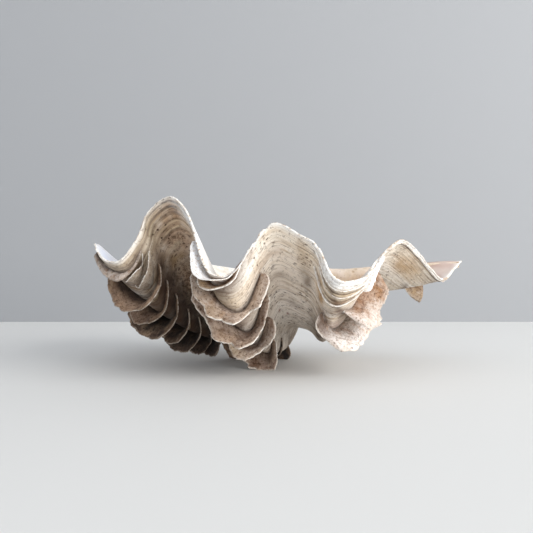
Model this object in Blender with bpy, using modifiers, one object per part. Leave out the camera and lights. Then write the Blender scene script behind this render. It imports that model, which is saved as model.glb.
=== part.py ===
"""One valve of a fluted giant clam, resting on its scales with the hollow side up.

The shell grows as a spiral. Its rim is a wavy line, and every older rim is the same line, smaller and
turned further round the hinge, down to a point at the beak. So one rim and one spiral give the whole
outside, and each scale is a piece of an older rim that flares away from the shell.

The frame is in metres: X runs along the shell's length, Y away from the wavy edge towards the hinge, and
Z up from the surface that the scales stand on. The numbers below are millimetres and degrees.
"""

import math

import bmesh
import bpy
from mathutils import Vector

MM = 0.001

# The spiral: where it ends, how the hinge is turned, and how fast each turn shrinks.
BEAK = Vector((13, 73.1, 73))
HINGE_TURN = 20
SHRINK = 0.86
BEAK_SHRINK = 0.45
OUTER_TURN = 168
INNER_TURN = 98
YAW = math.radians(HINGE_TURN)
HINGE = Vector((math.cos(YAW), -math.sin(YAW), 0))
FRONT = Vector((-math.sin(YAW), -math.cos(YAW), 0))
UP = Vector((0, 0, 1))

# The rim from the right end of the hinge, round the front, to the left end. Each point has its bearing
# from the beak, clockwise from +X as seen from above, its reach from the beak and its height.
RIM = (
    (20, 147, 86),
    (27, 141, 77),
    (36, 137, 72),
    (47, 132, 91.5),
    (56, 130, 102),
    (67.5, 134, 86.5),
    (75, 151, 75),
    (82.5, 166, 72),
    (86, 165, 78),
    (88.5, 158, 95.5),
    (93, 152, 104),
    (99, 150, 112),
    (103, 153, 104.5),
    (107, 172, 80),
    (110, 181, 76),
    (114, 177, 84),
    (121.5, 164, 119),
    (129, 161, 133),
    (135.5, 166, 123),
    (135.5, 174, 105),
    (137, 187, 86.5),
    (142.5, 193, 89),
    (149, 191, 100),
    (156.5, 177, 93.5),
    (169, 164, 80.5),
    (175, 154, 82),
    (183, 143, 93),
    (196, 122, 88),
)
RIGHT_RIB, MIDDLE_RIGHT_RIB, MIDDLE_RIB, LEFT_RIB, END_RIB = 2, 7, 14, 20.2, 24

# The wall: thin and sharp at the rim, thick under the beak, where it also fills the folds.
RIM_WALL = 2.4
BEAK_WALL = 10
FOLD_FILL = 14
LEAST_FOLD = 0.45

# The grid of the outside: columns along the rim, rows from the rim to the beak.
COLUMNS = 70
OUTER_ROWS = 15
INNER_ROWS = 7

# The hinge plate: a thick ledge under the straight back edge.
PLATE_RADIUS = 7.5
PLATE_ENDS = 2.5
PLATE_AHEAD = 0.7
PLATE_DROP = 0.9
PLATE_LIFT = 8  # how far the plate's middle is raised, so that the hinge line runs almost straight

# The teeth on the plate: half their width and height, and how far ahead of the beak they stand.
TOOTH_WIDTH = 2.6
TOOTH_HEIGHT = 4
TOOTH_AHEAD = 6
TOOTH_DROP = 2  # how far a tooth's middle lies below the plate's lift

# A scale's wall, how deep its root is sunk, its lean where it leaves the shell, how far its sides lie
# nearer to the rim than its middle, and the roundness of its edge.
SCALE_WALL = 2.2
SCALE_ROOT = 1.6
SCALE_RISE = 35
SCALE_SAG = 5
SCALE_ROUNDNESS = 3.5

# Each scale: rib, turn from the rim, half width along the rim, flare, lean at its edge, skew of its flare
# and tilt of its root.
SCALES = (
    (LEFT_RIB + 0.2, 3, 1.2, 8, 80, -0.3, -0.5),
    (LEFT_RIB, 11.5, 1.25, 22, 60, -0.3, -0.8),
    (LEFT_RIB + 0.8, 17, 1.9, 17.5, 65, -0.3, 0.6),
    (LEFT_RIB + 0.6, 20.5, 1.6, 23, 65, -0.1, 0),
    (LEFT_RIB + 0.7, 26.5, 1.6, 18.7, 57, -0.25, 0.3),
    (LEFT_RIB + 0.5, 31, 1.4, 22, 62, 0, 0),
    (LEFT_RIB + 0.7, 37, 1.1, 17.3, 74, 0.1, -1.7),
    (LEFT_RIB + 0.5, 40.5, 1.3, 16, 75, 0, 1.5),
    (LEFT_RIB, 53, 2.0, 18, 80, 0, 0),
    (MIDDLE_RIB - 0.1, 2.2, 1.2, 14, 57, -0.3, 1.9),
    (MIDDLE_RIB - 0.2, 9.4, 1.55, 21, 57, 0, -2.6),
    (MIDDLE_RIB - 0.1, 17, 1.6, 21, 57, 0.25, -2),
    (MIDDLE_RIB + 0.4, 24.5, 1.9, 18, 57, -0.25, -1.6),
    (MIDDLE_RIB - 0.1, 37, 1.1, 18, 60, 0.2, 0.6),
    (MIDDLE_RIB, 46, 1.5, 6, 80, 0, 0),
    (MIDDLE_RIB, 59, 1.7, 11, 80, 0, 0),
    (MIDDLE_RIGHT_RIB, 4, 1.7, 4, 50, 0, 0),
    (MIDDLE_RIGHT_RIB - 1.2, 14.3, 1.7, 22.6, 88, 0, -5),
    (MIDDLE_RIGHT_RIB - 0.8, 23.6, 1.8, 23, 75, -0.3, -6),
    (RIGHT_RIB, 3, 1.4, 4, 60, 0, 0),
    (RIGHT_RIB - 0.4, 18.8, 0.75, 20, 57, 0.3, -0.8),
    (RIGHT_RIB, 40, 1.6, 7, 75, 0, 0),
    (END_RIB, 10, 1.4, 9, 65, 0, 0),
    (END_RIB, 26, 1.5, 12, 70, 0, 0),
    (END_RIB, 44, 1.6, 12, 75, 0, 0),
)
SCALE_COLUMNS = 7
SCALE_ROWS = 3
SUNK_SHARE = 0.2


def clear_scene():
    for old in list(bpy.data.objects):
        bpy.data.objects.remove(old, do_unlink=True)


def clamp(value, low, high):
    return max(low, min(high, value))


def smooth_step(value):
    value = clamp(value, 0, 1)
    return value * value * (3 - 2 * value)


def outline_point(index):
    """The rim's point of this number, in millimetres. Past either end the line runs straight on."""
    last = len(RIM) - 1
    if index < 0:
        return 2 * outline_point(0) - outline_point(-index)
    if index > last:
        return 2 * outline_point(last) - outline_point(2 * last - index)
    bearing, reach, height = RIM[index]
    angle = math.radians(bearing)
    return Vector((BEAK.x + reach * math.cos(angle), BEAK.y - reach * math.sin(angle), height))


def rim_point(along):
    """A smooth curve through the outline's points. Along counts in points, from 0 to the last."""
    along = clamp(along, 0, len(RIM) - 1)
    first = min(int(along), len(RIM) - 2)
    t = along - first
    before, start, end, after = (outline_point(first + step) for step in (-1, 0, 1, 2))
    slope_start = (end - before) / 2
    slope_end = (after - start) / 2
    return (
        (2 * t**3 - 3 * t**2 + 1) * start
        + (t**3 - 2 * t**2 + t) * slope_start
        + (3 * t**2 - 2 * t**3) * end
        + (t**3 - t**2) * slope_end
    )


def plain_rim_point(along):
    """The rim without its folds, lifted inwards: what the inside grows towards under the beak."""
    shifts = (-3, -2, -1, 0, 1, 2, 3)
    middle = sum((rim_point(along + shift) for shift in shifts), Vector()) / len(shifts)
    inward = BEAK - middle
    inward.z = 0
    inward.normalize()
    return middle + FOLD_FILL * (0.8 * inward + 0.6 * UP)


def grown(point, turn):
    """This rim point when the shell was smaller: shrunk towards the beak and turned round the hinge."""
    angle = math.radians(turn)
    late = max(0, angle - math.pi / 2)
    size = math.exp(-SHRINK * angle - BEAK_SHRINK * late * late)
    offset = point - BEAK
    ahead = offset.dot(FRONT)
    up = offset.z
    turned_ahead = ahead * math.cos(angle) + up * math.sin(angle)
    turned_up = up * math.cos(angle) - ahead * math.sin(angle)
    moved = offset.dot(HINGE) * HINGE + turned_ahead * FRONT + turned_up * UP
    return BEAK + size * moved


def outside(along, turn):
    return grown(rim_point(along), turn)


def outward(surface, along, turn):
    """The unit normal of a surface given as a function of along and turn, away from the hollow."""
    step = 0.02
    across = surface(along + step, turn) - surface(along - step, turn)
    down = surface(along, turn + 0.5) - surface(along, turn - 0.5)
    return across.cross(down).normalized()


def lining(along, turn):
    """The outside with its folds partly filled, more so towards the beak."""
    fold = 1 - (1 - LEAST_FOLD) * smooth_step(turn / 100)
    return grown(plain_rim_point(along).lerp(rim_point(along), fold), turn)


def plain_outside(along, turn):
    return grown(plain_rim_point(along), turn)


def inside(along, turn):
    """The wall's inner face. Near the rim it follows each fold, and lower down it smooths them."""
    depth = smooth_step(turn / 70)
    end = len(RIM) - 1
    from_hinge = smooth_step(min(along, end - along) / 5)
    wall = RIM_WALL + (BEAK_WALL - RIM_WALL) * depth * (0.2 + 0.8 * from_hinge)
    at = clamp(along, 0.03, end - 0.03)
    folded = outward(lining, at, turn)
    plain = outward(plain_outside, at, turn)
    direction = folded.lerp(plain, smooth_step(turn / 35) * 0.75).normalized()
    return lining(along, turn) - wall * direction


def new_object(name, mesh_data, collection):
    made = bpy.data.objects.new(name, mesh_data)
    collection.objects.link(made)
    return made


def sheet(shape, columns, rows):
    """A grid of faces whose points are moved onto a surface, given as a function of two fractions."""
    bm = bmesh.new()
    bmesh.ops.create_grid(bm, x_segments=columns, y_segments=rows, size=0.5)
    for vert in bm.verts:
        vert.co = shape(vert.co.x + 0.5, vert.co.y + 0.5) * MM
    return bm


def valve_mesh():
    """The outside and the inside as two grids, joined round their borders."""
    end = len(RIM) - 1
    bm = sheet(lambda across, down: outside(across * end, OUTER_TURN * down), COLUMNS, OUTER_ROWS)
    inner = sheet(lambda across, down: inside(across * end, INNER_TURN * down), COLUMNS, INNER_ROWS)
    inner_data = bpy.data.meshes.new("inner")
    inner.to_mesh(inner_data)
    inner.free()
    bm.from_mesh(inner_data)
    bpy.data.meshes.remove(inner_data)
    border = [edge for edge in bm.edges if edge.is_boundary]
    bmesh.ops.bridge_loops(bm, edges=border)
    bmesh.ops.triangulate(bm, faces=list(bm.faces))
    bmesh.ops.recalc_face_normals(bm, faces=list(bm.faces))
    data = bpy.data.meshes.new("clam_shell")
    bm.to_mesh(data)
    bm.free()
    return data


def scale_point(scale, across, out):
    """A point of a scale: across it from 0 to 1, and out along it from its root to its edge."""
    rib, turn, half_width, flare, lean, skew, tilt = scale
    side = 2 * across - 1
    along = rib + half_width * side
    at = turn - min(SCALE_SAG, 0.4 * turn) * side * side + tilt * side
    base = outside(along, at)
    away = outward(outside, clamp(along, 0.03, len(RIM) - 1.03), at)
    grow = (outside(along, at - 1) - outside(along, at + 1)).normalized()
    full = flare * (1 + skew * side)
    least = max(0.15 * full, SCALE_WALL)
    height = least + (full - least) * math.sqrt(1 - abs(side) ** SCALE_ROUNDNESS)
    if out < SUNK_SHARE:
        return base - SCALE_ROOT * (1 - out / SUNK_SHARE) * away
    reach = (out - SUNK_SHARE) / (1 - SUNK_SHARE)
    lean_angle = math.radians(SCALE_RISE + (lean - SCALE_RISE) * reach)
    return base + height * reach * (math.cos(lean_angle) * grow + math.sin(lean_angle) * away)


def scale_mesh(scale):
    """A leaf that leaves the shell along an old rim and bends outwards, hollow side to the newer rim."""
    bm = sheet(lambda across, out: scale_point(scale, across, out), SCALE_COLUMNS, SCALE_ROWS)
    data = bpy.data.meshes.new("scale")
    bm.to_mesh(data)
    bm.free()
    return data


def hinge_plate(collection):
    """The ledge under the straight back edge: a bar that follows it and thins out to both ends."""
    last = len(RIM) - 1
    turns = (1, 20, 45, 80)
    right = [outside(0, turn) for turn in turns]
    left = [outside(last, turn) for turn in reversed(turns)]
    reach = (right[0] - BEAK).length
    data = bpy.data.curves.new("hinge_plate", "CURVE")
    data.dimensions = "3D"
    data.bevel_depth = PLATE_RADIUS * MM
    data.bevel_resolution = 1
    data.use_fill_caps = True
    line = data.splines.new("POLY")
    places = right + [BEAK] + left
    line.points.add(len(places) - 1)
    for point, place in zip(line.points, places):
        nearness = 1 - clamp((place - BEAK).length / reach, 0, 1)
        radius = PLATE_ENDS + (PLATE_RADIUS - PLATE_ENDS) * nearness
        centre = place + radius * (PLATE_AHEAD * FRONT - PLATE_DROP * UP) + PLATE_LIFT * nearness * UP
        point.co = (*(centre * MM), 1)
        point.radius = radius / PLATE_RADIUS
    bar = new_object("hinge_bar", data, collection)
    bpy.context.view_layer.update()
    solid = bpy.data.meshes.new_from_object(bar.evaluated_get(bpy.context.evaluated_depsgraph_get()))
    bpy.data.objects.remove(bar, do_unlink=True)
    bm = bmesh.new()
    bm.from_mesh(solid)
    bmesh.ops.remove_doubles(bm, verts=list(bm.verts), dist=0.00001)
    bm.to_mesh(solid)
    bm.free()
    return new_object("hinge_plate", solid, collection)


def hinge_tooth(name, along_hinge, length, collection):
    """A rounded ridge on the hinge plate that locks the two valves."""
    data = bpy.data.meshes.new(name)
    bm = bmesh.new()
    bmesh.ops.create_uvsphere(bm, u_segments=10, v_segments=6, radius=1)
    centre = BEAK + along_hinge * HINGE + TOOTH_AHEAD * FRONT + (PLATE_LIFT - TOOTH_DROP) * UP
    for vert in bm.verts:
        across = vert.co.x * length / 2 * HINGE + vert.co.y * TOOTH_WIDTH * FRONT
        vert.co = (centre + across + vert.co.z * TOOTH_HEIGHT * UP) * MM
    bmesh.ops.recalc_face_normals(bm, faces=list(bm.faces))
    bm.to_mesh(data)
    bm.free()
    return new_object(name, data, collection)


def shell_material():
    """Weathered shell: chalky cream, hardly shiny."""
    material = bpy.data.materials.new("weathered shell")
    material.use_nodes = True
    surface = material.node_tree.nodes["Principled BSDF"]
    surface.inputs["Base Color"].default_value = (0.66, 0.56, 0.44, 1)
    surface.inputs["Roughness"].default_value = 0.75
    surface.inputs["Metallic"].default_value = 0
    return material


def add_boolean(target, name, operation, collection):
    made = target.modifiers.new(name, "BOOLEAN")
    made.operation = operation
    made.operand_type = "COLLECTION"
    made.collection = collection
    made.solver = "EXACT"
    return made


def main():
    clear_scene()
    shell = bpy.data.collections.new("clam shell")
    bpy.context.scene.collection.children.link(shell)
    growths = bpy.data.collections.new("growths")
    cutters = bpy.data.collections.new("cutters")
    for collection in (growths, cutters):
        collection.hide_render = True
        bpy.context.scene.collection.children.link(collection)

    valve = new_object("clam_shell", valve_mesh(), shell)
    valve.data.materials.append(shell_material())
    for number, scale in enumerate(SCALES):
        leaf = new_object(f"scale_{number:02d}", scale_mesh(scale), growths)
        thick = leaf.modifiers.new("wall", "SOLIDIFY")
        thick.thickness = SCALE_WALL * clamp(1.4 - scale[1] / 90, 0.7, 1) * MM
        thick.offset = 0
    hinge_plate(growths)
    hinge_tooth("front_tooth", 16, 15, growths)
    hinge_tooth("back_tooth", -22, 30, growths)

    bpy.ops.mesh.primitive_cube_add(size=0.4, location=(0, 0, -0.2))
    ground = bpy.context.object
    ground.name = "ground"
    for collection in list(ground.users_collection):
        collection.objects.unlink(ground)
    cutters.objects.link(ground)
    for helper in list(growths.objects) + [ground]:
        helper.hide_render = True
        helper.display_type = "WIRE"

    add_boolean(valve, "grow scales", "UNION", growths)
    add_boolean(valve, "wear feet flat", "DIFFERENCE", cutters)


main()
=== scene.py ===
# %% [markdown]
# # A fluted clam shell
# A clam never carves its shell. It adds a thin strip to the rim, again and again, so the whole shell is the
# record of one wavy line that grew and turned. This lesson models it in the same way: a line, a spiral and
# the small faults of each year's growth. Everything is in millimetres until it becomes a mesh.

# %% Load the frame
import math

import bmesh
import bpy
import numpy as np
from mathutils import Matrix, Vector, noise


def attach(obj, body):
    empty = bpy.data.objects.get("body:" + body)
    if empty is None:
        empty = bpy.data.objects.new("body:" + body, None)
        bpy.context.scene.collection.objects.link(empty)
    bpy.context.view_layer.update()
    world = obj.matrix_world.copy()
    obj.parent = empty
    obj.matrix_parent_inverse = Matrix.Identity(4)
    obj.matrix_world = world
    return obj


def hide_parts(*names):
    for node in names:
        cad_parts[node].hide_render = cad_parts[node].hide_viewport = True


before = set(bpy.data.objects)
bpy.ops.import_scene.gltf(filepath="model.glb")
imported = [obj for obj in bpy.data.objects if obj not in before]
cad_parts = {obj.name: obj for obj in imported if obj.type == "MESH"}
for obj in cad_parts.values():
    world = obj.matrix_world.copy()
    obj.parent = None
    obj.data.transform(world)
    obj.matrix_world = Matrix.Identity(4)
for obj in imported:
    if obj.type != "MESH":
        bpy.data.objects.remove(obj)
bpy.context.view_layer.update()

MM = 0.001


# %% [markdown]
# ## The camera
# The photographer stood low, level with the rim, and close: about half a metre away. A close camera makes
# the near rim large and the hinge small, so the distance matters more than the lens. A 37.8 mm lens on a
# 36 mm wide sensor gives the same width of view.

# %% Place the camera
eye = bpy.data.objects.new("eye", bpy.data.cameras.new("eye"))
eye.location = (-0.0170, -0.4589, 0.082)
eye.rotation_euler = (math.radians(90), 0, 0)
eye.data.sensor_width = 36
eye.data.lens = 37.8
eye.data.clip_start = 0.01
bpy.context.scene.collection.objects.link(eye)
bpy.context.scene.camera = eye
print("camera at", tuple(eye.location))

# %% [markdown]
# ## The rim
# The rim is the newest growth. Seen from above it swings out at each rib and in at each groove, and it
# also rises and falls, so one list of points holds its bearing from the beak, its reach and its height.
# A smooth curve through listed points is easier to correct than a formula of sines.

# %% The rim as a smooth line
BEAK = np.array((13, 73.1, 73))
RIM = (
    (20, 147, 86), (27, 141, 77), (36, 137, 72), (47, 132, 91.5), (56, 130, 102), (67.5, 134, 86.5),
    (75, 151, 75), (82.5, 166, 72), (86, 165, 78), (88.5, 158, 95.5), (93, 152, 104), (99, 150, 112),
    (103, 153, 104.5), (107, 172, 80), (110, 181, 76), (114, 177, 84), (121.5, 164, 119), (129, 161, 133),
    (135.5, 166, 123), (135.5, 174, 105), (137, 187, 86.5), (142.5, 193, 89), (149, 191, 100),
    (156.5, 177, 93.5), (169, 164, 80.5), (175, 154, 82), (183, 143, 93), (196, 122, 88),
)
LAST = len(RIM) - 1
RIM_SAMPLES = 2000
bearing, reach, height = np.array(RIM, float).T
rim_spots = np.stack([reach * np.cos(np.radians(bearing)), -reach * np.sin(np.radians(bearing)), height], 1)
rim_spots[:, :2] += BEAK[:2]
rim_line = np.vstack([2 * rim_spots[0] - rim_spots[1], rim_spots, 2 * rim_spots[-1] - rim_spots[-2]])


def rim_point(along):
    """A smooth curve through the rim's points. Along counts in points, from 0 to the last."""
    along = np.clip(along, 0, LAST)
    first = np.minimum(along.astype(int), LAST - 1)
    t = (along - first)[..., None]
    before, start, end, after = (rim_line[first + step] for step in range(4))
    return (
        (2 * t**3 - 3 * t**2 + 1) * start
        + (t**3 - 2 * t**2 + t) * (end - before) / 2
        + (3 * t**2 - 2 * t**3) * end
        + (t**3 - t**2) * (after - start) / 2
    )


rim_steps = np.linalg.norm(np.diff(rim_point(np.linspace(0, LAST, RIM_SAMPLES)), axis=0), axis=1)
print(f"the rim is {rim_steps.sum():.0f} mm long from one end of the hinge to the other")

# %% [markdown]
# ## The spiral
# Every older rim is the same line, smaller and turned further round the hinge. A turn of 0 is the newest
# rim, and a turn of 168 degrees is the point of the beak. Two numbers, where along the rim and how far
# back in time, name every spot of the shell. That pair is used below for shape and for colour.

# %% Any older rim
HINGE_YAW = math.radians(20)
HINGE = np.array((math.cos(HINGE_YAW), -math.sin(HINGE_YAW), 0))
FRONT = np.array((-math.sin(HINGE_YAW), -math.cos(HINGE_YAW), 0))
UP = np.array((0, 0, 1.0))
SHRINK = 0.86
BEAK_SHRINK = 0.45
OUTER_TURN = 168
INNER_TURN = 98


def shrunk(turn):
    """How large the shell was at this turn, compared with now."""
    angle = np.radians(turn)
    return np.exp(-SHRINK * angle - BEAK_SHRINK * np.maximum(0, angle - math.pi / 2) ** 2)


def grown(point, turn):
    """This rim point when the shell was smaller."""
    angle = np.radians(turn)
    offset = point - BEAK
    ahead, up = offset @ FRONT, offset[..., 2]
    moved = (
        (offset @ HINGE)[..., None] * HINGE
        + (ahead * np.cos(angle) + up * np.sin(angle))[..., None] * FRONT
        + (up * np.cos(angle) - ahead * np.sin(angle))[..., None] * UP
    )
    return BEAK + shrunk(turn)[..., None] * moved


def outside(along, turn):
    return grown(rim_point(along), turn)


def unit(vectors):
    return vectors / np.linalg.norm(vectors, axis=-1, keepdims=True)


def outward(surface, along, turn):
    """The direction that points straight out of the shell."""
    across = surface(along + 0.02, turn) - surface(along - 0.02, turn)
    down = surface(along, turn + 0.5) - surface(along, turn - 0.5)
    return unit(np.cross(across, down))


def off_ends(along):
    """Keeps clear of both ends of the rim, where no direction across can be measured."""
    return np.clip(along, 0.03, LAST - 0.03)


# %% [markdown]
# ## The inner side
# Inside, the clam keeps adding thin coats, so the folds fill up and the wall gets thick towards the hinge.
# The inner face is the outer one with its folds partly filled, moved in by the thickness of the wall.

# %% The inner face
RIM_WALL = 2.4
RIM_EDGE = 0.5
BEAK_WALL = 10
FOLD_FILL = 14
LEAST_FOLD = 0.45


def smooth_step(value):
    value = np.clip(value, 0, 1)
    return value * value * (3 - 2 * value)


def plain_rim_point(along):
    """The rim without its folds."""
    middle = sum(rim_point(along + shift) for shift in range(-3, 4)) / 7
    inward = BEAK - middle
    inward[..., 2] = 0
    return middle + FOLD_FILL * (0.8 * unit(inward) + 0.6 * UP)


def plain_outside(along, turn):
    return grown(plain_rim_point(along), turn)


def lining(along, turn):
    fold = (1 - (1 - LEAST_FOLD) * smooth_step(turn / 100))[..., None]
    return grown(plain_rim_point(along) * (1 - fold) + rim_point(along) * fold, turn)


def inside(along, turn):
    """The wall's inner face. Near the rim it follows each fold, and lower down it smooths them."""
    depth = smooth_step(turn / 70)
    from_hinge = smooth_step(np.minimum(along, LAST - along) / 5)
    wall = RIM_WALL + (BEAK_WALL - RIM_WALL) * depth * (0.2 + 0.8 * from_hinge)
    wall = wall * (RIM_EDGE + (1 - RIM_EDGE) * smooth_step(turn / 7))
    at = off_ends(along)
    blend = (smooth_step(turn / 35) * 0.75)[..., None]
    direction = unit(outward(lining, at, turn) * (1 - blend) + outward(plain_outside, at, turn) * blend)
    return lining(along, turn) - wall[..., None] * direction


# %% [markdown]
# ## Faults of growth
# A real shell is never as clean as its formula. Storms chip the rim, hungry years leave it thin, and each
# pause in growth leaves a step. Noise that is read at a place, not drawn at random, gives the same faults
# in every run, and two surfaces that read the same place share them.


# %% Noise read at a place
def blotches(points, size, seed=0):
    """Soft noise from about -1 to 1 at each point, in blobs of this size."""
    shift = Vector((seed * 7.31, seed * -3.17, seed * 5.53))
    flat = np.asarray(points, float).reshape(-1, 3) / size
    return np.array([noise.noise(Vector(p) + shift) for p in flat]).reshape(np.shape(points)[:-1])


def wave(along, length, seed=0):
    """The same noise along the rim only, in lengths counted in rim points."""
    spots = np.zeros(np.shape(along) + (3,))
    spots[..., 0] = along / length
    spots[..., 1] = seed * 11.7 + 0.37
    return blotches(spots, 1)


NOTCHES = (
    (9.05, 0.09, 0.4), (11.6, 0.12, 0.4), (12.15, 0.1, 0.45), (15.9, 0.1, 0.4), (21.3, 0.12, 0.5),
    (21.7, 0.08, 0.5), (22.1, 0.15, 0.6), (24.5, 0.2, 0.6), (2.6, 0.15, 0.3), (4.9, 0.1, 0.3),
    (0.8, 0.2, 0.5),
)


def chipped(along):
    """How far back the rim is worn, in degrees of turn."""
    worn = 0.3 * np.abs(wave(along, 0.7, 1)) + 0.34 * np.abs(wave(along, 0.16, 2))
    for at, width, depth in NOTCHES:
        worn = worn + depth * np.exp(-(((along - at) / width) ** 4))
    return worn


# %% [markdown]
# ## Growth lines
# Each pause leaves a low step that runs round the whole shell like the edge of a roof tile. The steps are
# close together at the rim, where the old shell grew slowly. Rows of the mesh are placed exactly on each
# step, so a crisp edge costs four rows and not forty.

# %% Where the growth lines lie
dice = np.random.default_rng(7)
lines = [0.0, 0.9, 1.8, 2.8, 3.9, 5.1, 6.4, 7.6]
while lines[-1] < 150:
    slow = 0.75 + 2.2 * smooth_step((lines[-1] - 4) / 45) + 0.03 * lines[-1]
    lines.append(lines[-1] + slow * dice.uniform(0.6, 1.45))
lines = np.array(lines + [OUTER_TURN])
STEP = 0.11
row_turn, row_line, row_fade = [], [], []
for number, (start, end) in enumerate(zip(lines[:-1], lines[1:])):
    for part in (0, 0.3, 0.66, 1 - STEP / (end - start)):
        row_turn.append(start + part * (end - start))
        row_line.append(number)
        row_fade.append(1 - part if part < 0.9 else 0)
row_turn.append(float(OUTER_TURN))
row_line.append(len(lines) - 1)
row_fade.append(0)
row_turn, row_line, row_fade = np.array(row_turn), np.array(row_line), np.array(row_fade)
print(f"{len(lines) - 1} growth lines on {len(row_turn)} rows")

# %% [markdown]
# ## Ribs and grooves
# Five ribs run from the beak to the rim, with grooves between them. The steps stand high on the ribs and
# fade in the grooves, so a number from 0 to 1 says how much of a rib each place is.

# %% How much of a rib
RIGHT_RIB, MIDDLE_RIGHT_RIB, MIDDLE_RIB, LEFT_RIB, END_RIB = 2, 7, 14, 20.2, 24
RIDGES = ((0, 0), (2, 1), (4, 0), (7, 1), (11, 0), (14, 1), (17, 0), (20.2, 1), (22, 0), (24, 1), (27, 0))


def ribness(along):
    """1 on top of a rib and 0 at the bottom of a groove."""
    at, value = zip(*RIDGES)
    return smooth_step(np.interp(along, at, value))


# %% [markdown]
# ## Which scales grew where
# On each rib an old rim flared outwards like a leaf and was left behind when the shell grew on. A row first
# gives a scale's shape: its rib, turn, half width, flare, lean at the edge, skew and tilt. Then comes how
# clean and pink it is, and its outline, as heights from side to side, where 0 cuts it away. The rest are
# brush strokes: a colour, a place from side to side and from root to edge, a width, a length and a strength.
# The list comes early because the wall gets dirt and painted shade along each root.

# %% Name the scales
EVEN = (1, 1)
# Scale-wide strokes: mud and painted shade in the lower half, and painted shade on a whole scale deep in the
# folds.
DEEP_MUD_AND_SHADE = ("251A12", 0, 0.4, 3, 0.7, 0.8)
DEEP_SHADE = ("1E150F", 0, 0.5, 3, 2, 0.95)
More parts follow.
